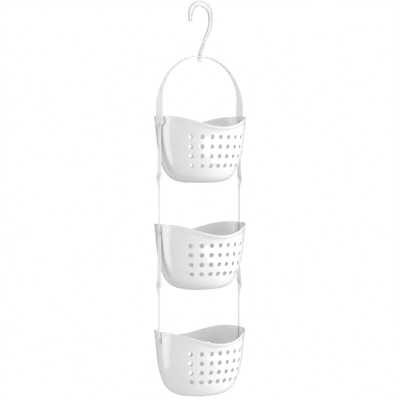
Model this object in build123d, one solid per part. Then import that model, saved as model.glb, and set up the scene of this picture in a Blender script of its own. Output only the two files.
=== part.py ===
"""Three-tier hanging shower caddy, moulded plastic.

A swivel hook carries an arched strap. The strap's two legs run down outside the ends of the
top basket, and link straps carry on to the middle and the bottom basket. Every basket hangs on
two snap buttons, one at each end, and the straps are joined end to end by snap pins.

Frame: origin on the axis of the rod that the hook hangs on, +X along the baskets' length,
-Y to the front, +Z up. Millimetres.
"""
from build123d import *
import os
from math import atan2, cos, degrees, radians, sin, sqrt

os.makedirs("parts", exist_ok=True)

# ---- hook ----
ROD_SEAT_R = 24.0           # inner radius of the hook's round top
HOOK_CROWN = 14.5           # thickness of the hook at its highest point
HOOK_SIDE = 8.3             # thickness of the hook beside the rod
HOOK_DEPTH = 8.0            # front to back
HOOK_TIP_DROP = 10.5        # straight part of the free end, below the rod's axis
HOOK_TIP_LEAN = 2.6         # how far the free end leans away from the rod
HOOK_BACK_DROP = 18.0       # straight part of the back, below the rod's axis
HOOK_GROOVE_DEPTH = 2.0     # the grooves that leave an I-shaped section
HOOK_RIB = 2.2              # width of the ribs beside the grooves
HOOK_FOOT_HALF = 3.6        # half thickness of the shank where it meets its foot
SHOULDER_R = 6.5
SHOULDER_T = 3.0

# ---- swivel ----
STEM_R = 3.0
RUNNING_GAP = 0.08          # radial clearance of everything that turns on a pin
FACE_GAP = 0.4              # clearance between faces that turn past each other
CAP_R = 7.2
CAP_H = 8.5

# ---- arched strap ----
STRAP_T = 2.2
ARCH_TOP_Z = -93.5          # upper face of the strap under the hook
ARCH_BOSS_R = 9.5
ARCH_BOSS_T = 4.6

# ---- baskets ----
BASKET_H = 157.9            # from the raised rim ends to the underside
END_HALF = 112.3            # half length of the wall at the rim
FRONT_HALF = 90.0           # half depth of the wall at the upper row of holes
RIM_FRONT_HALF = 102.5      # half depth of the rim's outline
FLARE_POWER = 1.2           # how the front and the back open out from the holes to the rim
RIM_END_PROUD = 0.6         # how far the lip stands out at the ends
TAPER_POWER = 2.3           # side profile: (1 - s ** TAPER_POWER) ** TAPER_ROOT
TAPER_ROOT = 0.21
BASE_SCALE = 0.45           # size of the flat underside, as a share of the wall's plan
WALL_T = 2.2
FLOOR_T = 2.6
RIM_DIP = 25.0              # how far the rim sinks at the middle of the front and the back
DIP_POWER = 1.9
LIP_T = 4.5
TOP_RIM_Z = -238.0          # height of the top basket's rim ends
TIER_PITCH = 255.5

# ---- hole grid, front and back ----
ROW_1_DROP = 49.2           # from the rim ends to the upper row
ROW_PITCH = 22.6
ROWS = 4
HOLE_R = 5.4
COLUMN_SHARES = (0.0, 0.207, 0.418, 0.639)    # column places, as shares of the half length
DRAIN_R = 2.8
DRAIN_PITCH = 16.0
PARTING_TURNS = (12.0, 97.4, 192.0, 277.4, 372.0)   # degrees from +X, clear of every hole

# ---- straps, snap buttons and pins ----
STRAP_IN = END_HALF + RIM_END_PROUD + FACE_GAP          # inner face of the straps
STRAP_OUT = STRAP_IN + STRAP_T
LINK_IN = STRAP_OUT + FACE_GAP                          # a link's head laps outside the strap above
LINK_OUT = LINK_IN + STRAP_T
BUTTON_DROP = 22.0          # from the rim ends to the snap button
PIN_DROP = 143.2            # from the rim ends to the pin below the basket's side
BUTTON_R = 3.0
BUTTON_HEAD_W = 13.0
BUTTON_HEAD_H = 20.0
BUTTON_HEAD_T = 2.6
BUTTON_HEAD_GAP = 1.2       # room for the curved wall to rock past the flat head
BUTTON_TIP_R = 4.2
BUTTON_TIP_T = 1.3
PIN_R = 3.0
PIN_HEAD_R = 5.6
PIN_HEAD_T = 1.6
LEAF_HALF = 9.6             # half width of a strap at a pin
ARCH_HALF = 6.8             # half width of the strap over the arch
CUFF_HALF = 13.6            # half width of the strap at the top basket's rim
SHANK_HALF = 5.6            # half width of the strap beside the top basket
LINK_HALF = 3.5             # half width of a link between two tiers
LINK_EYE_HALF = 5.6         # half width of a link at a snap button
TAPER_LEN = 34.0

TOP_BUTTON_Z = TOP_RIM_Z - BUTTON_DROP
TOP_PIN_Z = TOP_RIM_Z - PIN_DROP
SIDES = {"left": -1, "right": 1}


def disc_x(radius, x0, x1, z):
    """A round bar along X, from x0 to x1, on the caddy's middle plane."""
    bar = extrude(Plane.YZ * Circle(radius), amount=x1 - x0)
    return Pos(x0, 0, z) * bar


def on_side(solid, side):
    """The piece as made for the right end, or its mirror image for the left end."""
    return solid if side > 0 else mirror(solid, about=Plane.YZ)


# ------------------------------------------------------------------ hook and swivel
def hook_outline():
    """The hook's question-mark outline in the XZ plane."""
    side_x = ROD_SEAT_R + HOOK_SIDE
    tip_z = -HOOK_TIP_DROP
    back_z = -HOOK_BACK_DROP
    foot_z = ARCH_TOP_Z + SHOULDER_T
    with BuildSketch(Plane.XZ) as sketch:
        with BuildLine():
            seat = ThreePointArc((-ROD_SEAT_R, 0), (0, ROD_SEAT_R), (ROD_SEAT_R, 0))
            back_in = Line(seat @ 1, (ROD_SEAT_R, back_z))
            shank_in = Line(back_in @ 1, (-HOOK_FOOT_HALF, foot_z + 8))
            foot_in = Line(shank_in @ 1, (-HOOK_FOOT_HALF, foot_z))
            foot = Line(foot_in @ 1, (HOOK_FOOT_HALF, foot_z))
            foot_out = Line(foot @ 1, (HOOK_FOOT_HALF, foot_z + 10))
            shank_out = Line(foot_out @ 1, (side_x, back_z - 2))
            back_out = Line(shank_out @ 1, (side_x, 0))
            crown = ThreePointArc(back_out @ 1, (0, ROD_SEAT_R + HOOK_CROWN), (-side_x, 0))
            tip_out = Line(crown @ 1, (-side_x, tip_z))
            tip_r = (HOOK_SIDE - HOOK_TIP_LEAN) / 2
            tip = ThreePointArc(tip_out @ 1, (-side_x + tip_r, tip_z - tip_r),
                                (-side_x + 2 * tip_r, tip_z))
            Line(tip @ 1, seat @ 0)
        make_face()
        bends = [v for v in sketch.vertices() if foot_z + 5 < v.Z < back_z + 1]
        fillet(bends, 12)
    return sketch.sketch


def make_hook():
    outline = hook_outline()
    body = extrude(outline, amount=HOOK_DEPTH / 2, both=True)
    groove = offset(outline, amount=-HOOK_RIB, kind=Kind.INTERSECTION)
    groove_cut = extrude(groove, amount=HOOK_GROOVE_DEPTH)
    for face_y in (HOOK_DEPTH / 2, -HOOK_DEPTH / 2 + HOOK_GROOVE_DEPTH):
        body -= Pos(0, face_y, 0) * groove_cut
    foot_z = ARCH_TOP_Z + FACE_GAP
    shoulder = Pos(0, 0, foot_z) * extrude(Circle(SHOULDER_R), amount=SHOULDER_T)
    stem_len = FACE_GAP + ARCH_BOSS_T + FACE_GAP + CAP_H - 1.5
    stem = Pos(0, 0, foot_z - stem_len) * extrude(Circle(STEM_R), amount=stem_len)
    return body + shoulder + stem


def make_hook_cap():
    """The cap snapped on the stem's end, under the strap."""
    top_z = ARCH_TOP_Z - ARCH_BOSS_T - FACE_GAP
    cap = Pos(0, 0, top_z - CAP_H) * extrude(Circle(CAP_R), amount=CAP_H)
    cap = fillet(cap.edges().group_by(Axis.Z)[0], 3.0)
    socket_len = CAP_H - 1.5
    return cap - Pos(0, 0, top_z - socket_len) * extrude(Circle(STEM_R), amount=socket_len)


# ------------------------------------------------------------------ straps
def band(points):
    """An outline in the YZ plane from (half width, z) points, mirrored about the Z axis."""
    right = [(half, z) for half, z in points]
    left = [(-half, z) for half, z in reversed(points)]
    with BuildSketch(Plane.YZ) as sketch:
        with BuildLine():
            up = Spline(right, tangents=[(0, 1), (0, 1)])
            Line(up @ 1, left[0])
            down = Spline(left, tangents=[(0, -1), (0, -1)])
            Line(down @ 1, up @ 0)
        make_face()
    return sketch.sketch


def strap_from(side_view, front_view):
    """The solid whose side view (XZ) and end view (YZ) are the two outlines."""
    slab = extrude(side_view, amount=40, both=True)
    sheet = extrude(front_view, amount=140, both=True)
    return slab & sheet


def make_handle_strap():
    arch_r = STRAP_OUT
    centre_z = ARCH_TOP_Z - arch_r
    end_z = TOP_PIN_Z - LEAF_HALF
    with BuildSketch(Plane.XZ) as side_view:
        with Locations((0, centre_z)):
            Circle(arch_r)
        with Locations((0, centre_z)):
            Rectangle(2 * arch_r, centre_z - end_z, align=(Align.CENTER, Align.MAX))
        with Locations((0, centre_z)):
            Circle(arch_r - STRAP_T, mode=Mode.SUBTRACT)
        with Locations((0, centre_z)):
            Rectangle(2 * (arch_r - STRAP_T), centre_z - end_z, align=(Align.CENTER, Align.MAX),
                      mode=Mode.SUBTRACT)
    leg = band([(SHANK_HALF, TOP_PIN_Z + TAPER_LEN), (SHANK_HALF, TOP_BUTTON_Z - 34),
                (CUFF_HALF, TOP_BUTTON_Z), (CUFF_HALF, TOP_RIM_Z + 10),
                (CUFF_HALF - 1, TOP_RIM_Z + 34), (ARCH_HALF + 1, TOP_RIM_Z + 76),
                (ARCH_HALF, TOP_RIM_Z + 110), (ARCH_HALF, ARCH_TOP_Z + 5)])
    leaf = band([(LEAF_HALF, TOP_PIN_Z), (SHANK_HALF, TOP_PIN_Z + TAPER_LEN)])
    eye = Plane.YZ * Pos(0, TOP_PIN_Z) * Circle(LEAF_HALF)
    strap = strap_from(side_view.sketch, leg + leaf + eye)
    boss_z = ARCH_TOP_Z - ARCH_BOSS_T
    strap += Pos(0, 0, boss_z) * extrude(Circle(ARCH_BOSS_R), amount=ARCH_BOSS_T)
    stem_hole = extrude(Circle(STEM_R + RUNNING_GAP), amount=20)
    strap -= Pos(0, 0, ARCH_TOP_Z - 10) * stem_hole
    for hole_z, hole_r in ((TOP_BUTTON_Z, BUTTON_R), (TOP_PIN_Z, PIN_R)):
        strap -= disc_x(hole_r, -140, 140, hole_z)
    return strap


def link_side_view(top_z, bottom_z):
    """Side view of a link: its head laps outside the strap above, then it steps in."""
    step_top = top_z - LEAF_HALF - 3
    step_bottom = step_top - 14
    with BuildSketch(Plane.XZ) as sketch:
        with BuildLine():
            Polyline((LINK_IN, top_z + LEAF_HALF), (LINK_OUT, top_z + LEAF_HALF),
                     (LINK_OUT, step_top), (STRAP_OUT, step_bottom), (STRAP_OUT, bottom_z),
                     (STRAP_IN, bottom_z), (STRAP_IN, step_bottom), (LINK_IN, step_top), close=True)
        make_face()
        corners = [v for v in sketch.vertices() if step_bottom - 1 < v.Z < step_top + 1]
        fillet(corners, 9)
    return sketch.sketch


def make_link(tier, side):
    """The link from the pin beside one basket to the next basket down; tier 1 or 2."""
    top_z = TOP_PIN_Z - (tier - 1) * TIER_PITCH
    eye_z = TOP_BUTTON_Z - tier * TIER_PITCH
    rim_z = TOP_RIM_Z - tier * TIER_PITCH
    low_z = TOP_PIN_Z - tier * TIER_PITCH
    has_tail = tier == 1
    bottom_z = low_z - LEAF_HALF if has_tail else eye_z - LINK_EYE_HALF
    outline = band([(LINK_EYE_HALF, eye_z), (LINK_HALF, rim_z + 22),
                    (LINK_HALF, top_z - TAPER_LEN), (LEAF_HALF, top_z)])
    outline += Plane.YZ * Pos(0, top_z) * Circle(LEAF_HALF)
    outline += Plane.YZ * Pos(0, eye_z) * Circle(LINK_EYE_HALF)
    if has_tail:
        outline += band([(LEAF_HALF, low_z), (LINK_HALF, low_z + TAPER_LEN),
                         (LINK_HALF, eye_z - 24), (LINK_EYE_HALF, eye_z)])
        outline += Plane.YZ * Pos(0, low_z) * Circle(LEAF_HALF)
    link = strap_from(link_side_view(top_z, bottom_z), outline)
    link -= disc_x(PIN_R + RUNNING_GAP, 100, 140, top_z)
    link -= disc_x(BUTTON_R, 100, 140, eye_z)
    if has_tail:
        link -= disc_x(PIN_R, 100, 140, low_z)
    return on_side(link, side)


def make_button(tier, side):
    """A snap button: an oval head inside the basket, a round shank, and a snap tip outside."""
    z = TOP_BUTTON_Z - tier * TIER_PITCH
    head_x = END_HALF - WALL_T - BUTTON_HEAD_GAP
    straight = BUTTON_HEAD_H - BUTTON_HEAD_W
    oval = Plane.YZ * Rot(0, 0, 90) * SlotCenterToCenter(straight, BUTTON_HEAD_W)
    head = extrude(oval, amount=-BUTTON_HEAD_T)
    head = fillet(head.edges().group_by(Axis.X)[0], 1.6)
    head = Pos(head_x, 0, z) * head
    shank = disc_x(BUTTON_R, head_x - 1, STRAP_OUT + BUTTON_TIP_T, z)
    tip = disc_x(BUTTON_TIP_R, STRAP_OUT, STRAP_OUT + BUTTON_TIP_T, z)
    tip = fillet(tip.edges().group_by(Axis.X)[-1], 0.9)
    return on_side(head + shank + tip, side)


def make_pin(tier, side):
    """A snap pin through a strap's lower end and the head of the link under it."""
    z = TOP_PIN_Z - tier * TIER_PITCH
    inner = disc_x(PIN_HEAD_R, STRAP_IN - PIN_HEAD_T, STRAP_IN, z)
    inner = fillet(inner.edges().group_by(Axis.X)[0], 1.0)
    outer_x = LINK_OUT + FACE_GAP
    outer = disc_x(PIN_HEAD_R, outer_x, outer_x + PIN_HEAD_T, z)
    outer = fillet(outer.edges().group_by(Axis.X)[-1], 1.0)
    shank = disc_x(PIN_R, STRAP_IN - 1, outer_x + 1, z)
    return on_side(inner + shank + outer, side)


# ------------------------------------------------------------------ baskets
def wall_half(depth, height, end_half, front_half, flare):
    """Half length and half depth of the wall at a depth below the rim ends.

    The side profile narrows as (1 - s ** TAPER_POWER) ** TAPER_ROOT, with s the share of the
    height. Above the upper row of holes the front and back also flare out to the rim.
    """
    narrow = (1 - (depth / height) ** TAPER_POWER) ** TAPER_ROOT
    above_rows = max(0.0, 1 - depth / ROW_1_DROP)
    return end_half * narrow, front_half * narrow + flare * above_rows ** FLARE_POWER


def bowl(height, end_half, front_half, flare):
    """The basket's outer or inner form: ellipses joined down its height, with a flat base."""
    base_share = (1 - BASE_SCALE ** (1 / TAPER_ROOT)) ** (1 / TAPER_POWER)
    shares = (0.0, 0.1, 0.2, 0.31, 0.45, 0.6, 0.74, 0.86, 0.93, 0.97, base_share)
    sections = []
    for share in shares:
        depth = share * height
        half_x, half_y = wall_half(depth, height, end_half, front_half, flare)
        z = -height if share == base_share else -depth
        sections.append(Plane.XY.offset(z) * Ellipse(half_x, half_y))
    return loft(sections)


def above_rim_curve(drop):
    """A block over the dipping rim curve, lowered by drop; z is 0 at the rim ends."""
    half = END_HALF + RIM_END_PROUD
    curve = []
    for step in range(-8, 9):
        share = step / 8
        curve.append((half * share, -RIM_DIP * (1 - share ** 2) ** DIP_POWER - drop))
    with BuildSketch(Plane.XZ) as sketch:
        with BuildLine():
            rim = Spline(curve, tangents=[(1, 0), (1, 0)])
            Polyline(rim @ 1, (half + 20, -drop), (half + 20, 30), (-half - 20, 30),
                     (-half - 20, -drop), rim @ 0)
        make_face()
    return extrude(sketch.sketch, amount=160, both=True)


def grid_holes():
    """The bars that cut the rows of round holes in the front and the back wall."""
    bars = []
    for row in range(ROWS):
        depth = ROW_1_DROP + row * ROW_PITCH
        half_x, half_y = wall_half(depth, BASKET_H, END_HALF, FRONT_HALF, 0)
        for share in COLUMN_SHARES:
            x = share * half_x
            y = half_y * sqrt(1 - share ** 2)
            turn = degrees(atan2(y / half_y ** 2, x / half_x ** 2))
            bar = Rot(0, 0, turn) * extrude(Plane.YZ * Circle(HOLE_R), amount=8, both=True)
            for sign_x in (1, -1) if share else (1,):
                for sign_y in (1, -1):
                    placed = Pos(x, y, -depth) * bar
                    if sign_x < 0:
                        placed = mirror(placed, about=Plane.YZ)
                    if sign_y < 0:
                        placed = mirror(placed, about=Plane.XZ)
                    bars.append(placed)
    return bars


def drain_holes():
    """Round drains in the floor, on a staggered grid that leaves the centre solid."""
    bars = []
    for row in (-1, 0, 1):
        columns = (-1.5, -0.5, 0.5, 1.5) if row else (-2, -1, 1, 2)
        for column in columns:
            drain = Pos(column * DRAIN_PITCH, row * DRAIN_PITCH, -BASKET_H - 5)
            bars.append(drain * extrude(Circle(DRAIN_R), amount=14))
    return bars


def quarter_shells(basket):
    """The basket's four quarter shells, which meet on the mould's parting planes."""
    reach = 3 * END_HALF
    shells = []
    for start, end in zip(PARTING_TURNS[:-1], PARTING_TURNS[1:]):
        corners = [(0, 0)]
        for turn in (start, (start + end) / 2, end):
            corners.append((reach * cos(radians(turn)), reach * sin(radians(turn))))
        quarter = extrude(make_face(Polyline(*corners, close=True)), amount=2 * BASKET_H, both=True)
        shells.append((basket & quarter).solid())
    return Compound(shells)


def make_basket():
    """One basket, with z = 0 at its rim ends."""
    flare = RIM_FRONT_HALF - FRONT_HALF
    outer = bowl(BASKET_H, END_HALF, FRONT_HALF, flare)
    inner = bowl(BASKET_H - FLOOR_T, END_HALF - WALL_T, FRONT_HALF - WALL_T, flare)
    lip_disc = Plane.XY.offset(-RIM_DIP - 2 * LIP_T) * Ellipse(END_HALF + RIM_END_PROUD,
                                                              RIM_FRONT_HALF)
    lip = extrude(lip_disc, amount=RIM_DIP + 2 * LIP_T)
    lip = (lip & above_rim_curve(LIP_T)) - above_rim_curve(0)
    basket = (outer - above_rim_curve(0)) + lip
    basket -= inner
    basket -= grid_holes()
    basket -= drain_holes()
    basket -= disc_x(BUTTON_R + RUNNING_GAP, -140, 140, -BUTTON_DROP)
    return quarter_shells(basket)


# ------------------------------------------------------------------ the assembly
def build():
    nodes = {"hook": make_hook(), "hook_cap": make_hook_cap(), "handle_strap": make_handle_strap()}
    basket = make_basket()
    for tier, name in enumerate(("top", "middle", "bottom")):
        nodes[name + "_basket"] = Pos(0, 0, TOP_RIM_Z - tier * TIER_PITCH) * basket
        for side_name, side in SIDES.items():
            nodes[name + "_button_" + side_name] = make_button(tier, side)
    for tier, name in ((1, "upper"), (2, "lower")):
        for side_name, side in SIDES.items():
            nodes[name + "_link_" + side_name] = make_link(tier, side)
            nodes[name + "_pin_" + side_name] = make_pin(tier - 1, side)
    return nodes


if __name__ == "__main__":
    for node, shape in build().items():
        export_step(shape, "parts/" + node + ".step")
        print(node, "solids", len(shape.solids()), "volume", round(shape.volume, 1))
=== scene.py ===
# %% [markdown]
# # A hanging shower caddy in white moulded plastic
#
# The caddy is three oval baskets on jointed straps under a swivel hook. Everything is injection
# moulded, so its surfaces are smooth shells of even thickness with small rounded edges. Each
# piece below is a surface worked out with numpy as whole arrays: a formula of two parameters, or
# a section carried along a path. The frame gives every size and place.

# %% Load the frame
from math import cos, pi, radians, sin

import bmesh
import bpy
import numpy as np
from mathutils import Matrix, Vector


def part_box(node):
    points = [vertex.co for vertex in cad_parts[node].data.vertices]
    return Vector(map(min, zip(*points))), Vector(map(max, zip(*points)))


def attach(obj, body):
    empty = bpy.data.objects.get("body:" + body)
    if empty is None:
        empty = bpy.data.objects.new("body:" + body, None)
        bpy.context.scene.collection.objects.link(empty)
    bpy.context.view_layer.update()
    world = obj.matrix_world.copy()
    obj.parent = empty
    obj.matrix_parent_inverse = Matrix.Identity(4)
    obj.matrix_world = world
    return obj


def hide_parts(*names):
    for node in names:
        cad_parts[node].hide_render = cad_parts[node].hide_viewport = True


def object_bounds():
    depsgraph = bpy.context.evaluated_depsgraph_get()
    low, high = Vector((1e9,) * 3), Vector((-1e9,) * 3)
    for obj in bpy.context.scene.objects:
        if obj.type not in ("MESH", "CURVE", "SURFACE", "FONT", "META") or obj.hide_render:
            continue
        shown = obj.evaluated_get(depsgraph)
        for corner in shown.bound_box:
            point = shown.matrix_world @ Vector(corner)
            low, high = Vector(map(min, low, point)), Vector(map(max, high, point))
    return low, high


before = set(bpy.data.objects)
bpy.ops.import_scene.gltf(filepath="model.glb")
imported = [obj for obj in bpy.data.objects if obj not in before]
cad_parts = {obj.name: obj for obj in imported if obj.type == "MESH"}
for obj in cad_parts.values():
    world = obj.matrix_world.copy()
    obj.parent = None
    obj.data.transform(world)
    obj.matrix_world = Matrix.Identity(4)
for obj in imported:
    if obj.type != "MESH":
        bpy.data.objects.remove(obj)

CAD_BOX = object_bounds()
MM = 0.001
TIERS = ("top", "middle", "bottom")
SIDES = {"left": -1.0, "right": 1.0}

# %% [markdown]
# ## From arrays to meshes
#
# A piece may be one grid of points or several that meet. They could be joined by hand-written
# vertex lists, but index arithmetic on whole grids is shorter and cannot miss a face. The joined
# sheets are then merged where their edges meet, and the faces are turned to point outwards.

# %% Grids to faces
def grid_faces(index, wrap_u=False, wrap_v=False):
    """Quads of a grid of vertex numbers; a wrapped side joins its last row to its first."""
    if wrap_u:
        index = np.concatenate([index, index[:1]], axis=0)
    if wrap_v:
        index = np.concatenate([index, index[:, :1]], axis=1)
    corners = [index[:-1, :-1], index[1:, :-1], index[1:, 1:], index[:-1, 1:]]
    return np.stack(corners, axis=-1).reshape(-1, 4)


def make_object(name, points, quads):
    """A smooth-shaded closed object from points (n, 3) and quads (m, 4)."""
    mesh = bpy.data.meshes.new(name)
    mesh.vertices.add(len(points))
    mesh.vertices.foreach_set("co", np.asarray(points, np.float32).ravel())
    mesh.loops.add(quads.size)
    mesh.loops.foreach_set("vertex_index", quads.astype(np.int32).ravel())
    mesh.polygons.add(len(quads))
    mesh.polygons.foreach_set("loop_start", np.arange(0, quads.size, 4, dtype=np.int32))
    mesh.update(calc_edges=True)
    work = bmesh.new()
    work.from_mesh(mesh)
    bmesh.ops.remove_doubles(work, verts=work.verts, dist=2e-6)
    bmesh.ops.delete(work, geom=[v for v in work.verts if not v.link_faces], context="VERTS")
    bmesh.ops.recalc_face_normals(work, faces=work.faces)
    work.to_mesh(mesh)
    work.free()
    mesh.polygons.foreach_set("use_smooth", np.ones(len(mesh.polygons), bool))
    piece = bpy.data.objects.new(name, mesh)
    bpy.context.scene.collection.objects.link(piece)
    print(name, len(mesh.polygons), "faces")
    return piece


def from_sheets(name, sheets):
    """One object from a list of (points (n, m, 3), wrap_u, wrap_v) grids that meet at their edges."""
    points, quads, start = [], [], 0
    for grid, wrap_u, wrap_v in sheets:
        rows, columns = grid.shape[:2]
        index = start + np.arange(rows * columns).reshape(rows, columns)
        quads.append(grid_faces(index, wrap_u, wrap_v))
        points.append(grid.reshape(-1, 3))
        start += rows * columns
    return make_object(name, np.concatenate(points), np.concatenate(quads))


def smooth_mix(x, knots, ease=5.0 * MM):
    """Straight lines through (x, value) knots, with each corner rounded: the mean of the broken
    line over a window of twice ease."""
    xs, values = np.array(sorted(knots)).T
    window = np.linspace(-ease, ease, 11)[:, None]
    return np.interp(x[None] + window, xs, values).mean(axis=0)


# %% [markdown]
# ## The finish: moulded polypropylene
#
# The plastic is white with a satin gloss. What tells it from paint is small: a faint grain from
# the mould's skin, long soft flow marks that shift the gloss, a little unevenness in the
# white, and light that enters a thin wall and comes out again. One node group works out the
# colour, the gloss and the height for every plastic here; each material has its own shader and
# sets its own amounts.

# %% The shared skin of moulded plastic
def build_skin_group():
    """Outputs a colour, a roughness and a height from Object coordinates.

    Colour: base plus noise times mottle. Roughness: gloss plus flow marks (a noise stretched
    along Z) times flow. Height: fine noise (grain) plus a broad waviness from cooling (sink).
    """
    tree = bpy.data.node_groups.new("moulded_skin", "ShaderNodeTree")
    names_in = {"Base": "NodeSocketColor", "Shade": "NodeSocketColor", "Mottle": "NodeSocketFloat",
                "Gloss": "NodeSocketFloat", "Flow": "NodeSocketFloat", "Grain Scale": "NodeSocketFloat",
                "Sink": "NodeSocketFloat"}
    for label, kind in names_in.items():
        tree.interface.new_socket(label, in_out="INPUT", socket_type=kind)
    for label, kind in (("Color", "NodeSocketColor"), ("Roughness", "NodeSocketFloat"),
                        ("Height", "NodeSocketFloat")):
        tree.interface.new_socket(label, in_out="OUTPUT", socket_type=kind)
    nodes, links = tree.nodes, tree.links
    given = nodes.new("NodeGroupInput")
    result = nodes.new("NodeGroupOutput")
    place = nodes.new("ShaderNodeTexCoord")

    def noise(scale, detail, stretch=(1, 1, 1)):
        mapping = nodes.new("ShaderNodeMapping")
        mapping.inputs["Scale"].default_value = stretch
        links.new(place.outputs["Object"], mapping.inputs["Vector"])
        texture = nodes.new("ShaderNodeTexNoise")
        texture.inputs["Scale"].default_value = scale
        texture.inputs["Detail"].default_value = detail
        links.new(mapping.outputs["Vector"], texture.inputs["Vector"])
        return texture

    def sum_of(a, b, factor):
        """a + b * factor"""
        node = nodes.new("ShaderNodeMath")
        node.operation = "MULTIPLY_ADD"
        links.new(b, node.inputs[0])
        links.new(factor, node.inputs[1])
        links.new(a, node.inputs[2])
        return node.outputs[0]

    def centred(socket):
        node = nodes.new("ShaderNodeMath")
        node.operation = "SUBTRACT"
        node.inputs[1].default_value = 0.5
        links.new(socket, node.inputs[0])
        return node.outputs[0]

    clouds = noise(22.0, 3.0)
    flow = noise(34.0, 4.0, (1.0, 1.0, 0.18))
    grain = noise(1.0, 2.0)
    links.new(given.outputs["Grain Scale"], grain.inputs["Scale"])
    waves = noise(11.0, 1.0)

    amount = nodes.new("ShaderNodeMath")
    amount.operation = "MULTIPLY"
    links.new(clouds.outputs["Fac"], amount.inputs[0])
    links.new(given.outputs["Mottle"], amount.inputs[1])
    tint = nodes.new("ShaderNodeMix")
    tint.data_type = "RGBA"
    links.new(amount.outputs[0], tint.inputs["Factor"])
    links.new(given.outputs["Base"], tint.inputs["A"])
    links.new(given.outputs["Shade"], tint.inputs["B"])
    links.new(tint.outputs["Result"], result.inputs["Color"])
    gloss = sum_of(given.outputs["Gloss"], centred(flow.outputs["Fac"]), given.outputs["Flow"])
    links.new(gloss, result.inputs["Roughness"])
    height = sum_of(grain.outputs["Fac"], waves.outputs["Fac"], given.outputs["Sink"])
    links.new(height, result.inputs["Height"])
    return tree


SKIN = build_skin_group()


def moulded_plastic(name, base, shade, gloss, flow=0.10, mottle=0.5, grain=900.0, bump=0.06,
                    sink=0.6, inner_light=0.35, coat=0.9):
    """A plastic material: the skin group feeds the shader's colour, roughness and bump."""
    material = bpy.data.materials.new(name)
    material.use_nodes = True
    nodes, links = material.node_tree.nodes, material.node_tree.links
    shader = nodes["Principled BSDF"]
    shader.inputs["IOR"].default_value = 1.49
    shader.inputs["Subsurface Weight"].default_value = inner_light
    shader.inputs["Coat Weight"].default_value = coat
    shader.inputs["Coat Roughness"].default_value = 0.09
    shader.inputs["Subsurface Radius"].default_value = (1.0, 0.95, 0.9)
    shader.inputs["Subsurface Scale"].default_value = 0.004
    skin = nodes.new("ShaderNodeGroup")
    skin.node_tree = SKIN
    settings = {"Base": (*base, 1), "Shade": (*shade, 1), "Mottle": mottle, "Gloss": gloss,
                "Flow": flow, "Grain Scale": grain, "Sink": sink}
    for label, value in settings.items():
        skin.inputs[label].default_value = value
    links.new(skin.outputs["Color"], shader.inputs["Base Color"])
    links.new(skin.outputs["Roughness"], shader.inputs["Roughness"])
    relief = nodes.new("ShaderNodeBump")
    relief.inputs["Strength"].default_value = bump
    relief.inputs["Distance"].default_value = 0.0001
    links.new(skin.outputs["Height"], relief.inputs["Height"])
    links.new(relief.outputs["Normal"], shader.inputs["Normal"])
    return material


BASKET_PLASTIC = moulded_plastic("basket_white_satin", (0.86, 0.86, 0.86), (0.80, 0.805, 0.81),
                                 gloss=0.24, inner_light=0.12)
STRAP_PLASTIC = moulded_plastic("strap_white_supple", (0.93, 0.93, 0.93), (0.89, 0.89, 0.90),
                                gloss=0.42, grain=1400.0, bump=0.02, inner_light=0.6,
                                coat=0.3)
HOOK_PLASTIC = moulded_plastic("hook_white_gloss", (0.76, 0.765, 0.77), (0.70, 0.705, 0.71),
                               gloss=0.30, flow=0.06, bump=0.02, inner_light=0.5, coat=0.4)
FASTENER_PLASTIC = moulded_plastic("fastener_white", (0.92, 0.92, 0.92), (0.87, 0.87, 0.88),
                                   gloss=0.40, grain=1500.0, bump=0.02, inner_light=0.5,
                                   coat=0.3)
print("materials:", len(bpy.data.materials))


def finish_piece(piece, material, slot, body, *nodes):
    """Gives a piece its material and its body, and hides the CAD nodes that it stands for; the slot
    argument is not used.
    """
    piece.data.materials.append(material)
    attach(piece, body)
    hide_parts(*nodes)
    return piece


# %% [markdown]
# ## A basket
#
# The wall of a basket is an oval shell. Seen from the side it stays nearly upright and then
# rolls in to a flat base. Towards the rim the front and the back open out into a flared lip,
# which dips in the middle and rises at the two ends. The wall is a function of the turn round
# the oval and of the depth below the rim ends. The holes could be cut with a boolean, but that
# leaves slivers that spoil the gloss. Instead the grid has a block for each hole, and inside a
# block the quads run from the block's square edge to the hole's round one.

# %% The basket's form
RIM_LOW, RIM_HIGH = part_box("top_basket")
BASKET_H = RIM_HIGH.z - RIM_LOW.z
RIM_X, RIM_Y = RIM_HIGH.x, RIM_HIGH.y
WALL_X = RIM_X - 0.6 * MM
WALL_Y = 90.0 * MM
FLARE_Y = RIM_Y - WALL_Y
FLARE_POWER = 1.2
WALL_T = 2.2 * MM
ROW_1_DEPTH = 49.2 * MM
ROW_PITCH = 22.6 * MM
ROWS = 4
RIM_DIP = 25.0 * MM
DIP_POWER = 1.9
TAPER_POWER, TAPER_ROOT = 2.3, 0.21
BASE_SCALE = 0.45
LIP_REACH = 6.5 * MM
BEAD_PROUD, BEAD_DROP, BEAD_SOFT = 0.7 * MM, 5.2 * MM, 0.55 * MM
HOLE_R = 5.4 * MM
DRAIN_R = 2.8 * MM
EDGE_R = 0.5 * MM
COLUMN_SHARES = (0.207, 0.418, 0.639)
BASE_SHARE = (1 - BASE_SCALE ** (1 / TAPER_ROOT)) ** (1 / TAPER_POWER)
print("basket", round(2000 * RIM_X, 1), "by", round(2000 * RIM_Y, 1), "mm at the rim")


def rim_depth(turn):
    """Depth of the rim below its ends: the dip times (sin squared) to a power."""
    return RIM_DIP * np.abs(np.sin(turn)) ** (2 * DIP_POWER)


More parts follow.
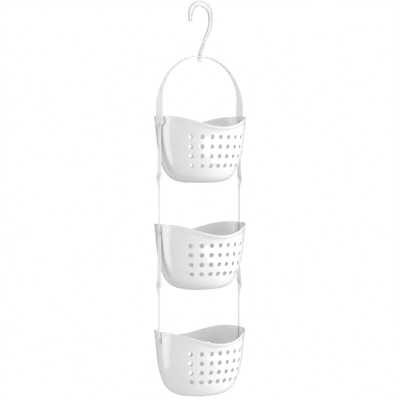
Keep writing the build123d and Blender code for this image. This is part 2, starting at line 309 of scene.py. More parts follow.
def wall_place(turn, level):
    """Outer wall points. Level 0 is the rim, 1 the upper edge of the hole rows, 2 their lower
    edge, 3 the edge of the flat base and 4 its centre; the turn goes round the oval.

    The half axes narrow as (1 - s^2.3)^0.21 with s the share of the height, the front opens
    out above the holes, and over the last few millimetres both ease out to the rim's oval.
    """
    rows_top = ROW_1_DEPTH - ROW_PITCH / 2
    rows_low = rows_top + ROWS * ROW_PITCH
    base_depth = BASE_SHARE * BASKET_H
    top = rim_depth(turn) + WALL_T / 2
    depth = np.where(level < 1, top + (rows_top - top) * level, 0.0)
    depth = np.where((level >= 1) & (level < 2), rows_top + (rows_low - rows_top) * (level - 1), depth)
    roll = np.sin(np.clip(level - 2, 0, 1) * pi / 2)
    depth = np.where(level >= 2, rows_low + (base_depth - rows_low) * roll, depth)
    share = np.clip(depth / BASKET_H, 0, BASE_SHARE)
    narrow = (1 - share ** TAPER_POWER) ** TAPER_ROOT
    flare = FLARE_Y * np.clip(1 - depth / ROW_1_DEPTH, 0, 1) ** FLARE_POWER
    below_rim = depth - top
    near_rim = np.exp(-(below_rim / LIP_REACH) ** 2)
    half_x = WALL_X * narrow
    half_y = WALL_Y * narrow + flare
    half_x = half_x + near_rim * (RIM_X - BEAD_PROUD - half_x)
    half_y = half_y + near_rim * (RIM_Y - BEAD_PROUD - half_y)
    inward = np.clip(4 - level, 0, 1)
    half_x, half_y = half_x * inward, half_y * inward
    flat = np.clip(level - 3, 0, 1) > 0
    soft = np.clip(level - 3, 0, 1)
    floor_z = -base_depth - (BASKET_H - base_depth) * np.clip(soft * 6, 0, 1)
    z = np.where(flat, floor_z, -depth)
    return np.stack([half_x * np.cos(turn), half_y * np.sin(turn), z], axis=-1)


def bead_height(turn, level):
    """How far the rim's rolled band stands out: a step that fades BEAD_DROP below the rim."""
    top = rim_depth(turn) + WALL_T / 2
    rows_top = ROW_1_DEPTH - ROW_PITCH / 2
    below_rim = (rows_top - top) * np.clip(level, 0, 1)
    return BEAD_PROUD / (1 + np.exp((below_rim - BEAD_DROP) / BEAD_SOFT))


def wall_normal(turn, level):
    """Outward normals, as the cross product of the two slopes of wall_place."""
    step = 1e-4
    level_in = np.clip(level, step, 4 - 0.02)
    along = wall_place(turn + step, level_in) - wall_place(turn - step, level_in)
    down = wall_place(turn, level_in + step) - wall_place(turn, level_in - step)
    normal = np.cross(down, along)
    normal /= np.linalg.norm(normal, axis=-1, keepdims=True)
    return normal


def shell_place(turn, level, inset):
    """A point of the shell: inset 0 on the outer face and WALL_T on the inner one."""
    outer_bead = bead_height(turn, level) * (1 - inset / WALL_T)
    lift = (outer_bead - inset)[..., None]
    return wall_place(turn, level) + wall_normal(turn, level) * lift


# %% The basket's grid
STEPS = 8                       # quads along each side of a block
END_BLOCKS = 5
RING_LOOP = 4 * STEPS
RINGS = 4                       # rings of quads from a block's edge to its hole

hole_turns = np.arcsin(np.array((0.0,) + COLUMN_SHARES))
hole_turns = np.concatenate([-hole_turns[:0:-1], hole_turns])
middles = (hole_turns[1:] + hole_turns[:-1]) / 2
outer_edge = hole_turns[-1] + (hole_turns[-1] - middles[-1])
front_edges = np.concatenate([[-outer_edge], middles, [outer_edge]])
end_edges = np.linspace(outer_edge, pi - outer_edge, END_BLOCKS + 1)
half_edges = np.concatenate([front_edges, end_edges[1:-1]])
BLOCK_EDGES = np.concatenate([half_edges, half_edges + pi, [2 * pi - outer_edge]]) - pi / 2
BLOCKS = len(BLOCK_EDGES) - 1
FRONT_BLOCKS = [b for b in range(BLOCKS) if b % (BLOCKS // 2) < len(hole_turns)]
DRAIN_BLOCKS = list(range(1, BLOCKS, 2))


def split(edges, counts):
    """Each stretch between two edges cut into its count of equal steps, without the last edge."""
    parts = [np.linspace(a, b, n, endpoint=False) for a, b, n in zip(edges[:-1], edges[1:], counts)]
    return np.concatenate(parts)


TURNS = split(BLOCK_EDGES, [STEPS] * BLOCKS)
RIM_STEPS = 18
CORNER_STEPS = 18
DRAIN_OUTER, DRAIN_INNER = 3.1, 3.5
level_stops = [0, 1] + [1 + (r + 1) / ROWS for r in range(ROWS)] + [3, DRAIN_OUTER, DRAIN_INNER, 4]
level_counts = [RIM_STEPS] + [STEPS] * ROWS + [CORNER_STEPS, 3, STEPS, 4]
LEVELS = np.concatenate([split(np.array(level_stops, float), level_counts), [4.0]])
LEVELS[:RIM_STEPS] = (np.arange(RIM_STEPS) / RIM_STEPS) ** 1.6
print("basket grid:", len(TURNS), "turns by", len(LEVELS), "levels")


def block_loop(column, row):
    """Grid places (column, row) round the edge of a block whose corner is at column, row."""
    run = np.arange(STEPS)
    columns = np.concatenate([run, np.full(STEPS, STEPS), STEPS - run, np.zeros(STEPS, int)])
    rows = np.concatenate([np.zeros(STEPS, int), run, np.full(STEPS, STEPS), STEPS - run])
    return column + columns, row + rows


def hole_list():
    """(block, first row of its levels, hole radius) of every hole of a basket."""
    wall = [(b, RIM_STEPS + STEPS * r, HOLE_R) for b in FRONT_BLOCKS for r in range(ROWS)]
    drain_row = RIM_STEPS + STEPS * ROWS + CORNER_STEPS + 3
    return wall + [(b, drain_row, DRAIN_R) for b in DRAIN_BLOCKS]


def hole_rings(block, row, radius):
    """Turns, levels and insets of the rings of one hole, from its block's edge to the bore.

    The rings ease from the block's square edge to a circle, which is drawn in millimetres on
    the wall, then round over the bore's edge: radius R + e(1 - sin a), inset e(1 - cos a).
    """
    columns, rows = block_loop(block * STEPS, row)
    edge_turn = np.append(TURNS, TURNS[0] + 2 * pi)[columns]
    edge_level = LEVELS[rows]
    mid_turn = (edge_turn.min() + edge_turn.max()) / 2
    mid_level = (edge_level.min() + edge_level.max()) / 2
    step = 1e-3
    here = np.array([mid_turn]), np.array([mid_level])
    per_turn = np.linalg.norm(wall_place(here[0] + step, here[1]) - wall_place(*here)) / step
    per_level = np.linalg.norm(wall_place(here[0], here[1] + step) - wall_place(*here)) / step
    angle = np.arctan2((edge_level - mid_level) * per_level, (edge_turn - mid_turn) * per_turn)
    round_angles = np.radians([0, 30, 60, 90])
    radii = radius + EDGE_R * (1 - np.sin(round_angles))
    insets = EDGE_R * (1 - np.cos(round_angles))
    circle_turn = mid_turn + np.outer(radii, np.cos(angle)) / per_turn
    circle_level = mid_level + np.outer(radii, np.sin(angle)) / per_level
    ease = np.linspace(0, 1, RINGS + 1)[:-1, None]
    flat_turn = edge_turn + ease * (circle_turn[0] - edge_turn)
    flat_level = edge_level + ease * (circle_level[0] - edge_level)
    turns = np.concatenate([flat_turn, circle_turn, circle_turn[::-1], flat_turn[::-1]])
    levels = np.concatenate([flat_level, circle_level, circle_level[::-1], flat_level[::-1]])
    inset = np.concatenate([np.zeros(RINGS), insets, WALL_T - insets[::-1], np.full(RINGS, WALL_T)])
    return turns, levels, np.broadcast_to(inset[:, None], turns.shape)


def basket_mesh():
    """Points and quads of one basket with its rim ends at z = 0."""
    columns, rows = len(TURNS), len(LEVELS)
    turn, level = np.meshgrid(TURNS, LEVELS, indexing="ij")
    keep = np.ones((columns, rows - 1), bool)
    holes = hole_list()
    for block, row, _ in holes:
        keep[block * STEPS:(block + 1) * STEPS, row:row + STEPS] = False
    points, quads, start = [], [], 0
    for inset in (0.0, WALL_T):
        index = start + np.arange(columns * rows).reshape(columns, rows)
        faces = grid_faces(index, wrap_u=True).reshape(columns, rows - 1, 4)[keep]
        points.append(shell_place(turn, level, np.full(turn.shape, inset)).reshape(-1, 3))
        quads.append(faces)
        start += columns * rows
    ring_sets = [np.stack(hole_rings(*hole)) for hole in holes]
    rings = np.stack(ring_sets)
    ring_points = shell_place(rings[:, 0], rings[:, 1], rings[:, 2])
    for one_hole in ring_points:
        index = start + np.arange(one_hole.shape[0] * RING_LOOP).reshape(-1, RING_LOOP)
        quads.append(grid_faces(index, wrap_v=True))
        points.append(one_hole.reshape(-1, 3))
        start += index.size
    zero = np.zeros_like(TURNS)
    outer = shell_place(TURNS, zero, zero)
    inner = shell_place(TURNS, zero, zero + WALL_T)
    middle, arm = (outer + inner) / 2, (outer - inner) / 2
    up = wall_place(TURNS, zero) - wall_place(TURNS, zero + 0.01)
    up /= np.linalg.norm(up, axis=-1, keepdims=True)
    reach = np.linalg.norm(arm, axis=-1, keepdims=True)
    over = np.linspace(0, pi, 9)[:, None, None]
    lip = middle + np.cos(over) * arm + np.sin(over) * up * np.minimum(reach, WALL_T / 2)
    index = start + np.arange(lip.shape[0] * columns).reshape(lip.shape[0], columns)
    quads.append(grid_faces(index, wrap_v=True))
    points.append(lip.reshape(-1, 3))
    return np.concatenate(points), np.concatenate(quads)


# %% The three baskets
basket_points, basket_quads = basket_mesh()
for tier in TIERS:
    rim_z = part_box(tier + "_basket")[1].z
    place = basket_points + np.array([0, 0, rim_z])
    basket = make_object(tier + "_basket_shell", place, basket_quads)
    finish_piece(basket, BASKET_PLASTIC, "basket", tier + "_basket", tier + "_basket")

# %% [markdown]
# ## The hook
#
# The hook is a question mark with an I-shaped section: two ribs along its edges and a thin web
# between them, which saves plastic and stays stiff. Its outline is an inner line, round where
# it sits on the rod, and an outer one that makes the crown thickest. The surface is the section
# carried between the two lines: a function of the way along the hook and the way round the
# section.

# %% The hook's two outlines
SEAT_R = 24.0 * MM
HOOK_LOW, HOOK_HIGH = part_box("hook")
STRAP_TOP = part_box("handle_strap")[1].z
SIDE_X = HOOK_HIGH.x
CROWN_Z = HOOK_HIGH.z
HOOK_HALF_Y = 4.0 * MM
TIP_Z, BACK_Z = -10.5 * MM, -18.0 * MM
TIP_LEAN = 2.6 * MM
FOOT_HALF = 3.6 * MM
FOOT_Z = STRAP_TOP + 2.0 * MM
RIB, GROOVE = 2.2 * MM, 2.0 * MM


def smooth_line(corners, count, rounds=3):
    """Points along a broken line whose corners are rounded: corner cutting, then even spacing."""
    line = np.asarray(corners, float)
    for _ in range(rounds):
        near = 0.75 * line[:-1] + 0.25 * line[1:]
        far = 0.25 * line[:-1] + 0.75 * line[1:]
        inner = np.stack([near, far], axis=1).reshape(-1, line.shape[1])
        line = np.concatenate([line[:1], inner, line[-1:]])
    gaps = np.linalg.norm(np.diff(line, axis=0), axis=1)
    run = np.concatenate([[0], np.cumsum(gaps)])
    even = np.linspace(0, run[-1], count)
    return np.stack([np.interp(even, run, line[:, k]) for k in range(line.shape[1])], axis=1)


def hook_lines():
    """Matching points (x, z) along the inner and the outer line, from the tip to the foot."""
    crown_r = (SIDE_X ** 2 + CROWN_Z ** 2) / (2 * CROWN_Z)
    crown_mid = CROWN_Z - crown_r
    tilt = np.arcsin(crown_mid / crown_r)
    over = np.linspace(pi, 0, 64)
    inner_arc = SEAT_R * np.stack([np.cos(over), np.sin(over)], axis=1)
    outer_turn = np.linspace(pi + tilt, -tilt, 64)
    outer_arc = crown_r * np.stack([np.cos(outer_turn), np.sin(outer_turn)], axis=1)
    outer_arc[:, 1] += crown_mid
    down = np.linspace(TIP_Z, 0, 8, endpoint=False)[:, None]
    inner_tip = np.concatenate([-SEAT_R - TIP_LEAN * (down / TIP_Z) ** 1.5, down], axis=1)
    outer_tip = np.concatenate([np.full_like(down, -SIDE_X), down], axis=1)
    inner_back = smooth_line([(SEAT_R, 0), (SEAT_R, BACK_Z * 0.5), (SEAT_R, BACK_Z),
                              (SEAT_R * 0.72, BACK_Z - 18 * MM),
                              (-FOOT_HALF + 5.2 * MM, FOOT_Z + 18 * MM),
                              (-FOOT_HALF, FOOT_Z + 8 * MM), (-FOOT_HALF, FOOT_Z)], 72)
    outer_back = smooth_line([(SIDE_X, 0), (SIDE_X, BACK_Z * 0.5), (SIDE_X, BACK_Z - 2 * MM),
                              (SIDE_X * 0.80, BACK_Z - 19 * MM),
                              (FOOT_HALF + 5.5 * MM, FOOT_Z + 20 * MM),
                              (FOOT_HALF, FOOT_Z + 9 * MM), (FOOT_HALF, FOOT_Z)], 72)
    inner = np.concatenate([inner_tip, inner_arc, inner_back[1:]])
    outer = np.concatenate([outer_tip, outer_arc, outer_back[1:]])
    return inner, outer


def i_section(thickness):
    """The I section round one station: (distance from the inner line, y) as (..., k) arrays.

    One quarter runs from the middle of the inner rib's edge over its rounded corners into the
    groove; the rest is its mirror images.
    """
    round_r = 0.6 * MM
    arc = np.radians([0, 30, 60, 90])
    edge_b = np.concatenate([[0.0, 0.0], round_r * (1 - np.cos(arc)),
                             RIB - round_r * (1 - np.sin(arc)), [RIB + 0.25 * MM, RIB + 0.9 * MM]])
    edge_y = np.concatenate([[0.0, HOOK_HALF_Y * 0.6], HOOK_HALF_Y - round_r * (1 - np.sin(arc)),
                             HOOK_HALF_Y - round_r * (1 - np.cos(arc)),
                             [HOOK_HALF_Y - GROOVE + 0.5 * MM, HOOK_HALF_Y - GROOVE]])
    thickness = thickness[:, None]
    scale = np.minimum(1.0, thickness / (2.6 * (RIB + 0.9 * MM)))
    near = edge_b * scale
    far = thickness - near[:, ::-1]
    side_y = np.broadcast_to(edge_y, near.shape)
    half_b = np.concatenate([near, far], axis=1)
    half_y = np.concatenate([side_y, side_y[:, ::-1]], axis=1)
    full_b = np.concatenate([half_b, half_b[:, -2:0:-1]], axis=1)
    full_y = np.concatenate([half_y, -half_y[:, -2:0:-1]], axis=1)
    return full_b, full_y


def make_hook():
    """The hook as one closed surface: the section along its outlines, from a round tip to the foot."""
    inner, outer = hook_lines()
    across = outer - inner
    thickness = np.linalg.norm(across, axis=1)
    unit = across / thickness[:, None]
    b, y = i_section(thickness)
    grid = np.stack([inner[:, 0:1] + b * unit[:, 0:1], y, inner[:, 1:2] + b * unit[:, 1:2]], axis=-1)
    centre = (inner[0] + outer[0]) / 2
    hub = np.array([centre[0], 0, centre[1]])
    bow = np.linspace(pi / 2, 0, 9)[:-1][::-1, None, None]
    tip_r = thickness[0] / 2
    down = np.array([0, 0, -1.0])
    tip = hub + (grid[0] - hub)[None] * np.sin(bow) + down * np.cos(bow) * tip_r
    pole = np.broadcast_to(hub + down * tip_r, (1,) + grid[0].shape)
    foot = np.broadcast_to(grid[-1].mean(axis=0), (1,) + grid[0].shape)
    shaft = np.concatenate([pole, tip, grid, foot], axis=0)
    return from_sheets("hook_body", [(shaft, False, True)])


hook = make_hook()
finish_piece(hook, HOOK_PLASTIC, "hook", "hook", "hook")


# %% [markdown]
# ## Turned pieces: shoulder, cap, buttons and pins
#
# The swivel's shoulder and cap, the snap buttons' tips and the pins' heads are all round, so each
# is a profile turned about a line. The buttons' inner heads are ovals: the same turning, with a
# straight stretch let in between the two half rounds.

# %% Turning a profile
def turned(profile, origin, axis, count=40, stretch=0.0):
    """Turns (radius, height) points about an axis; stretch opens the circle into an oval.

    Point = origin + height * axis + radius * (cos a, sin a) + stretch * sign(sin a) along the oval.
    """
    profile = np.asarray(profile, float)
    angle = np.linspace(0, 2 * pi, count, endpoint=False) + pi / count
    axis = np.asarray(axis, float)
    side = np.array([0.0, 1.0, 0.0])
    rise = np.cross(axis, side)
    radius, height = profile[:, 0][:, None, None], profile[:, 1][:, None, None]
    circle = np.cos(angle)[:, None] * side + np.sin(angle)[:, None] * rise
    shift = np.where(np.sin(angle) > 0, stretch, -stretch)[:, None] * rise
    shift = shift[None] * (radius > 0)
    return np.asarray(origin, float) + height * axis + radius * circle[None] + shift


def rounded(radius, low, high, edge_low, edge_high, steps=5):
    """A disc's profile from its lower centre over its side to its upper centre, edges rounded."""
    arc = np.linspace(0, pi / 2, steps)
    low_r = radius - edge_low + edge_low * np.sin(arc)
    low_z = low + edge_low - edge_low * np.cos(arc)
    high_r = radius - edge_high + edge_high * np.cos(arc)
    high_z = high - edge_high + edge_high * np.sin(arc)
    radii = np.concatenate([[0.0, 0.6 * radius], low_r, high_r, [0.6 * radius, 0.0]])
    heights = np.concatenate([[low, low], low_z, high_z, [high, high]])
    return np.stack([radii, heights], axis=1)


# %% The swivel
CAP_LOW, CAP_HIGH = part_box("hook_cap")
SHOULDER_R = (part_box("hook")[1].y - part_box("hook")[0].y) / 2
SHOULDER_LOW = STRAP_TOP + 0.4 * MM
UP = (0.0, 0.0, 1.0)
shoulder_profile = rounded(SHOULDER_R, SHOULDER_LOW, SHOULDER_LOW + 3.0 * MM, 0.4 * MM, 1.6 * MM)
shoulder = from_sheets("hook_shoulder", [(turned(shoulder_profile, (0, 0, 0), UP), False, True)])
finish_piece(shoulder, HOOK_PLASTIC, "hook", "hook")
stem_profile = rounded(3.0 * MM, CAP_HIGH.z - 4 * MM, SHOULDER_LOW + 1 * MM, 0.3 * MM, 0.3 * MM)
stem = from_sheets("hook_stem", [(turned(stem_profile, (0, 0, 0), UP, 32), False, True)])
finish_piece(stem, HOOK_PLASTIC, "hook", "hook")
cap_profile = rounded(CAP_HIGH.x, CAP_LOW.z, CAP_HIGH.z, 3.0 * MM, 0.5 * MM, 7)
cap = from_sheets("swivel_cap", [(turned(cap_profile, (0, 0, 0), UP, 48), False, True)])
finish_piece(cap, FASTENER_PLASTIC, "fastener", "hook", "hook_cap")

# %% Buttons and pins
CARRIER = {"top": "handle", "middle": "upper_links", "bottom": "lower_links"}
BUTTON_HEAD_R = 5.0 * MM
BUTTON_HEAD_T = 2.6 * MM
BUTTON_OVAL = 9.0 * MM
BUTTON_RISE = 6.0 * MM
for tier in TIERS:
    for side_name, side in SIDES.items():
        node = tier + "_button_" + side_name
        low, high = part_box(node)
        middle = (low + high) / 2
        near, far = sorted((abs(low.x), abs(high.x)))
        axis = (side, 0, 0)
        origin = (0, 0, middle.z)
        head = rounded(BUTTON_HEAD_R, near, near + BUTTON_HEAD_T, 1.6 * MM, 0.3 * MM)
        shank = rounded(3.0 * MM, near + 1 * MM, far - 0.4 * MM, 0.2 * MM, 0.2 * MM)
        tip = rounded(4.2 * MM, far - 1.3 * MM, far, 0.15 * MM, 0.9 * MM)
        parts = [(turned(head, (0, 0, middle.z + BUTTON_RISE), axis, 48, BUTTON_OVAL), False, True),
                 (turned(shank, origin, axis, 32), False, True),
                 (turned(tip, origin, axis, 40), False, True)]
        button = from_sheets(node + "_snap", parts)
        finish_piece(button, FASTENER_PLASTIC, "fastener", CARRIER[tier], node)

for tier, carrier in (("upper", "handle"), ("lower", "upper_links")):
    for side_name, side in SIDES.items():
        node = tier + "_pin_" + side_name
        low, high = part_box(node)
        near, far = sorted((abs(low.x), abs(high.x)))
        origin = (0, 0, (low.z + high.z) / 2)
        axis = (side, 0, 0)
        head_r = high.y
        inner_head = rounded(head_r, near, near + 1.6 * MM, 1.0 * MM, 0.2 * MM)
        outer_head = rounded(head_r, far - 1.6 * MM, far, 0.2 * MM, 1.0 * MM)
        shank = rounded(3.0 * MM, near + 1 * MM, far - 1 * MM, 0.2 * MM, 0.2 * MM)
        profiles = (inner_head, shank, outer_head)
        parts = [(turned(profile, origin, axis), False, True) for profile in profiles]
        pin = from_sheets(node + "_snap", parts)
        finish_piece(pin, FASTENER_PLASTIC, "fastener", carrier, node)

# %% [markdown]
# ## The straps
#
# A strap is a thin supple band with rounded edges. It widens to a cuff and a rounded tab at the
# top basket's rim and to a leaf at each pin, and it bends only in the plane of the arch. So it
# is a rounded rectangle carried along a line in that plane, with a width that depends on the
# height alone. The links are the same thing with a small step, where the head laps over the
# strap above it.

# %% A band along a path
def band_sheet(path, half_width, thickness, edge=0.75 * MM, border=0.35 * MM):
    """A strap's skin: a rounded rectangle at every point of a path in the XZ plane.

    The outer face has a shallow panel with a raised border, as deep as border and eased over
    its edge, wherever the band is wide enough for one.
    """
    slope = np.gradient(path, axis=0)
    slope /= np.linalg.norm(slope, axis=1, keepdims=True)
    outward = np.stack([slope[:, 1], -slope[:, 0]], axis=1)
    half = half_width[:, None]
    radius = np.minimum(edge, 0.98 * half)
    h = thickness / 2
    r_z = min(edge, 0.98 * h)
    arc = np.linspace(0, pi / 2, 5)
    rim_w = np.minimum(1.5 * MM, 0.30 * half)
    flat = half - radius
    panel = np.clip((half - 2.6 * MM) / (2.0 * MM), 0, 1) * border
    top_y = [flat - rim_w * k for k in (0.0, 0.45, 0.8, 1.3)]
    top_h = [h + 0 * half, h + 0 * half, h - panel, h - panel]
    right_y = [flat + radius * sin(a) for a in arc[1:]] + [flat + radius * cos(a) for a in arc[1:]]
    right_h = [h - r_z + r_z * cos(a) + 0 * half for a in arc[1:]]
    right_h += [-h + r_z - r_z * sin(a) + 0 * half for a in arc[1:]]
    ys = [0 * half] + top_y[::-1] + right_y + [flat * 0.5, 0 * half]
    hs = [h - panel] + top_h[::-1] + right_h + [-h + 0 * half, -h + 0 * half]
    ys = np.concatenate(ys, axis=1)
    hs = np.concatenate(hs, axis=1)
    ys = np.concatenate([ys, -ys[:, -2:0:-1]], axis=1)
    hs = np.concatenate([hs, hs[:, -2:0:-1]], axis=1)
    x = path[:, 0:1] + hs * outward[:, 0:1]
    z = path[:, 1:2] + hs * outward[:, 1:2]
    return np.stack([x, ys, z], axis=-1)


def closed_band(grid):
    """Closes a band's two ends on the middle of their last sections."""
    first = np.broadcast_to(grid[0].mean(axis=0), (1,) + grid[0].shape)
    last = np.broadcast_to(grid[-1].mean(axis=0), (1,) + grid[-1].shape)
    return np.concatenate([first, grid, last], axis=0)


def round_end(z, end_z, radius):
    """Half width of a round end of that radius at heights above or below its last point."""
    inside = np.clip(radius ** 2 - (radius - np.abs(z - end_z)) ** 2, 0, None)
    return np.where(np.abs(z - end_z) < radius, np.sqrt(inside), 1.0)


def middle_z(node):
    """The height of the middle of a CAD node's box."""
    low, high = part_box(node)
    return (low.z + high.z) / 2


STRAP_LOW, STRAP_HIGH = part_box("handle_strap")
STRAP_T = 2.2 * MM
STRAP_MID = STRAP_HIGH.x - STRAP_T / 2
BUTTON_Z = {tier: middle_z(tier + "_button_left") for tier in TIERS}
PIN_Z = {link: middle_z(link + "_pin_left") for link in ("upper", "lower")}
LEAF_HALF = PIN_Z["upper"] - STRAP_LOW.z
CUFF_HALF = STRAP_HIGH.y - 0.2 * MM         # at the top rim, just above the tab
ARCH_HALF, SHANK_HALF, TAB_HALF = 6.8 * MM, 6.6 * MM, 18.6 * MM
LINK_HALF, LINK_EYE = 3.5 * MM, 5.6 * MM
TAPER_LEN = 34.0 * MM
RIM_ABOVE_BUTTON = 22.0 * MM


def handle_width(z):
    """Half width of the arched strap: arch, cuff, tab, shank, leaf and its round end."""
    rim = BUTTON_Z["top"] + RIM_ABOVE_BUTTON
    knots = [(STRAP_HIGH.z, ARCH_HALF), (rim + 110 * MM, ARCH_HALF), (rim + 76 * MM, 8.2 * MM),
             (rim + 34 * MM, CUFF_HALF), (rim + 4 * MM, CUFF_HALF + 0.6 * MM),
             (rim - 6 * MM, 16.5 * MM), (rim - 18 * MM, TAB_HALF), (rim - 24 * MM, 8.4 * MM),
             (rim - 34 * MM, SHANK_HALF), (PIN_Z["upper"] + TAPER_LEN, SHANK_HALF),
             (PIN_Z["upper"], LEAF_HALF), (STRAP_LOW.z, LEAF_HALF)]
    width = smooth_mix(z, knots, 2.5 * MM)
    return np.minimum(width, round_end(z, STRAP_LOW.z, LEAF_HALF))


def make_handle():
    """The arched strap: up the left leg, over the half circle and down the right leg."""
    centre_z = STRAP_HIGH.z - STRAP_HIGH.x
    foot = STRAP_LOW.z
    ease = 1 - np.cos(np.linspace(0, pi / 2, 14))
    start = foot + LEAF_HALF * ease
    straight = np.linspace(foot + LEAF_HALF, centre_z, 90)[1:]
    leg_z = np.concatenate([start, straight])
    over = np.linspace(pi, 0, 120)[1:-1]
    arc = np.stack([STRAP_MID * np.cos(over), centre_z + STRAP_MID * np.sin(over)], axis=1)
    left = np.stack([np.full_like(leg_z, -STRAP_MID), leg_z], axis=1)
    right = np.stack([np.full_like(leg_z, STRAP_MID), leg_z], axis=1)[::-1]
    path = np.concatenate([left, arc, right])
    skin = band_sheet(path, handle_width(path[:, 1]), STRAP_T)
    return closed_band(skin[:, ::-1])


def eye_collar(radius, z, side):
    """The low raised ring round a button's eye, on a strap's outer face."""
    top = STRAP_MID + STRAP_T / 2 + COLLAR_PROUD
    profile = rounded(radius, STRAP_MID, top, 0.1 * MM, 0.25 * MM)
    return turned(profile, (0, 0, z), (side, 0, 0)), False, True


BOSS_R, BOSS_T = 9.5 * MM, 4.6 * MM
COLLAR_R, COLLAR_PROUD = 5.4 * MM, 0.25 * MM
boss_profile = rounded(BOSS_R, STRAP_HIGH.z - BOSS_T, STRAP_HIGH.z, 1.2 * MM, 0.8 * MM)
boss = turned(boss_profile, (0, 0, 0), UP, 48)
collars = [eye_collar(COLLAR_R, BUTTON_Z["top"], side) for side in SIDES.values()]
handle = from_sheets("arched_strap", [(make_handle(), False, True), (boss, False, True)] + collars)
finish_piece(handle, STRAP_PLASTIC, "strap", "handle", "handle_strap")


# %% The links
def link_width(z, top_pin, eye, tail_pin=None):
    """Half width of a link: a leaf at its head, a narrow band, an eye, and a leaf at its tail."""
    knots = [(top_pin + LEAF_HALF, LEAF_HALF), (top_pin, LEAF_HALF), (top_pin - TAPER_LEN, LINK_HALF),
             (eye + 22 * MM, LINK_HALF), (eye, LINK_EYE)]
    if tail_pin is None:
        knots.append((eye - LINK_EYE, LINK_EYE))
        low_end = round_end(z, eye - LINK_EYE, LINK_EYE)
    else:
        knots += [(eye - 24 * MM, SHANK_HALF), (tail_pin + TAPER_LEN, SHANK_HALF),
                  (tail_pin, LEAF_HALF), (tail_pin - LEAF_HALF, LEAF_HALF)]
        low_end = round_end(z, tail_pin - LEAF_HALF, LEAF_HALF)
    ends = np.minimum(low_end, round_end(z, top_pin + LEAF_HALF, LEAF_HALF))
    return np.minimum(smooth_mix(z, knots), ends)


def make_link(node, side, top_pin, eye, tail_pin):
    """A link: its head lies one strap's thickness further out, then it steps in."""
    low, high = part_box(node)
    lap = high.z - low.z
    ease = 1 - np.cos(np.linspace(0, pi / 2, 12))
    top_r = LEAF_HALF
    low_r = LEAF_HALF if tail_pin is not None else LINK_EYE
    body = np.linspace(high.z - top_r, low.z + low_r, int(lap / (2.0 * MM)))
    z = np.concatenate([high.z - top_r * ease, body[1:-1], (low.z + low_r * ease)[::-1]])
    far = max(abs(low.x), abs(high.x)) - STRAP_T / 2
    step_top = top_pin - LEAF_HALF - 3 * MM
    step = np.clip((z - (step_top - 14 * MM)) / (14 * MM), 0, 1)
    x = STRAP_MID + (far - STRAP_MID) * step * step * (3 - 2 * step)
    path = np.stack([x, z], axis=1)[::-1]
    skin = band_sheet(path, link_width(path[:, 1], top_pin, eye, tail_pin), STRAP_T)
    skin[..., 0] = 2 * path[:, 0:1] - skin[..., 0]
    skin[..., 0] *= side
    sheets = [(closed_band(skin), False, True), eye_collar(LINK_EYE + 0.4 * MM, eye, side)]
    return from_sheets(node + "_band", sheets)


for link, carrier, top_pin, eye, tail in (
        ("upper", "upper_links", PIN_Z["upper"], BUTTON_Z["middle"], PIN_Z["lower"]),
        ("lower", "lower_links", PIN_Z["lower"], BUTTON_Z["bottom"], None)):
    for side_name, side in SIDES.items():
        node = link + "_link_" + side_name
        band = make_link(node, side, top_pin, eye, tail)
        finish_piece(band, STRAP_PLASTIC, "strap", carrier, node)

# %% [markdown]
# ## The studio
#
# White plastic on white needs grey to be seen by. A broad soft light from the front right makes
# that side of the ovals blank white, a narrower one from behind the left draws a pale band
# down the dark side, a small one above lights the rims, and the surroundings are grey. The
# floor and the air behind are plain white to the camera alone.

# %% The camera
AZIMUTH = radians(33.0)
PITCH = radians(2.29)
ROLL = radians(0.13)
DISTANCE = 3.749
EYE_Z = -0.2885
SIDE_SHIFT = -0.0004
forward = Vector((sin(AZIMUTH) * cos(PITCH), cos(AZIMUTH) * cos(PITCH), -sin(PITCH)))
right = Vector((cos(AZIMUTH), -sin(AZIMUTH), 0))
up = right.cross(forward)
right, up = right * cos(ROLL) + up * sin(ROLL), up * cos(ROLL) - right * sin(ROLL)
eye = Vector((-sin(AZIMUTH) * DISTANCE, -cos(AZIMUTH) * DISTANCE, EYE_Z)) + right * SIDE_SHIFT
axes = Matrix((right, up, -forward)).transposed().to_4x4()
camera_data = bpy.data.cameras.new("camera")
camera_data.sensor_width = 36.0
camera_data.lens = 140.6
camera = bpy.data.objects.new("camera", camera_data)
camera.matrix_world = Matrix.Translation(eye) @ axes
bpy.context.scene.collection.objects.link(camera)
bpy.context.scene.camera = camera
print("camera", round(camera_data.lens, 1), "mm,", round(DISTANCE, 2), "m away")


# %% The lights
def soft_box(name, azimuth, height, distance, width, tall, watts):
    """A rectangular light that looks at the caddy's middle from an azimuth (0 is the front)."""
    data = bpy.data.lights.new(name, "AREA")
    data.shape = "RECTANGLE"
    data.size, data.size_y = width, tall
    data.energy = watts
    box = bpy.data.objects.new(name, data)
    aim = Vector((0, 0, min(height, 0.0)))
    place = Vector((sin(radians(azimuth)) * distance, -cos(radians(azimuth)) * distance, height))
    facing = (aim - place).to_track_quat("-Z", "Y").to_matrix().to_4x4()
    box.matrix_world = Matrix.Translation(place) @ facing
    bpy.context.scene.collection.objects.link(box)
    print(name, watts, "W")
    return box


soft_box("key_front_right", 44.0, -0.70, 3.0, 8.4, 2.4, 130.0)
soft_box("edge_left", -118.0, -0.60, 2.6, 1.5, 2.6, 22.0)
soft_box("above", -10.0, 2.4, 1.4, 2.2, 1.6, 14.0)

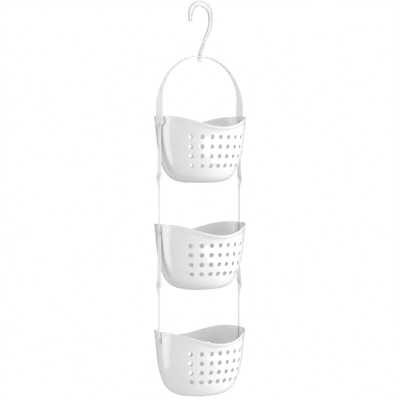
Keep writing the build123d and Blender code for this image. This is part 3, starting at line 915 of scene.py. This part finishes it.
# %% The floor and the air
def plain_white(name, seen, lit):
    """White to the camera, and a plain grey to the light that bounces off it."""
    material = bpy.data.materials.new(name)
    material.use_nodes = True
    nodes, links = material.node_tree.nodes, material.node_tree.links
    nodes.clear()
    output = nodes.new("ShaderNodeOutputMaterial")
    mix = nodes.new("ShaderNodeMixShader")
    glow = nodes.new("ShaderNodeEmission")
    glow.inputs["Color"].default_value = (seen, seen, seen, 1)
    matt = nodes.new("ShaderNodeBsdfDiffuse")
    matt.inputs["Color"].default_value = (lit, lit, lit, 1)
    path = nodes.new("ShaderNodeLightPath")
    links.new(path.outputs["Is Camera Ray"], mix.inputs["Fac"])
    links.new(matt.outputs["BSDF"], mix.inputs[1])
    links.new(glow.outputs["Emission"], mix.inputs[2])
    links.new(mix.outputs["Shader"], output.inputs["Surface"])
    return material


FLOOR_HALF = 14.0
FLOOR_Z = CAD_BOX[0][2] - 1.6
corners = np.array([[-1, -1], [1, -1], [1, 1], [-1, 1]]) * FLOOR_HALF
floor_points = np.column_stack([corners, np.full(4, FLOOR_Z)])
floor_mesh = bpy.data.meshes.new("floor")
floor_mesh.from_pydata(floor_points.tolist(), [], [(0, 1, 2, 3)])
floor_mesh.materials.append(plain_white("floor_pale", 1.0, 0.7))
floor = bpy.data.objects.new("floor", floor_mesh)
bpy.context.scene.collection.objects.link(floor)

AIR_DARK, AIR_BRIGHT = 0.22, 0.67
DARK_SIDE = Vector((sin(radians(-172)), -cos(radians(-172)), -0.3)).normalized()
world = bpy.data.worlds.new("air")
bpy.context.scene.world = world
world.use_nodes = True
air_nodes, air_links = world.node_tree.nodes, world.node_tree.links
air = air_nodes["Background"]
ray = air_nodes.new("ShaderNodeLightPath")
heading = air_nodes.new("ShaderNodeTexCoord")
toward = air_nodes.new("ShaderNodeVectorMath")
toward.operation = "DOT_PRODUCT"
toward.inputs[1].default_value = DARK_SIDE
air_links.new(heading.outputs["Generated"], toward.inputs[0])
fade = air_nodes.new("ShaderNodeMapRange")
fade.interpolation_type = "SMOOTHSTEP"
fade.inputs["From Min"].default_value = 0.1
fade.inputs["From Max"].default_value = 0.9
fade.inputs["To Min"].default_value = AIR_BRIGHT
fade.inputs["To Max"].default_value = AIR_DARK
air_links.new(toward.outputs["Value"], fade.inputs["Value"])
level = air_nodes.new("ShaderNodeMapRange")
level.inputs["To Max"].default_value = 1.0
air_links.new(ray.outputs["Is Camera Ray"], level.inputs["Value"])
air_links.new(fade.outputs["Result"], level.inputs["To Min"])
air_links.new(level.outputs["Result"], air.inputs["Strength"])
air.inputs["Color"].default_value = (1, 1, 1, 1)
bpy.context.scene.view_settings.view_transform = "Standard"
print("floor", round(FLOOR_Z, 2), "m, air", AIR_DARK, "to", AIR_BRIGHT)
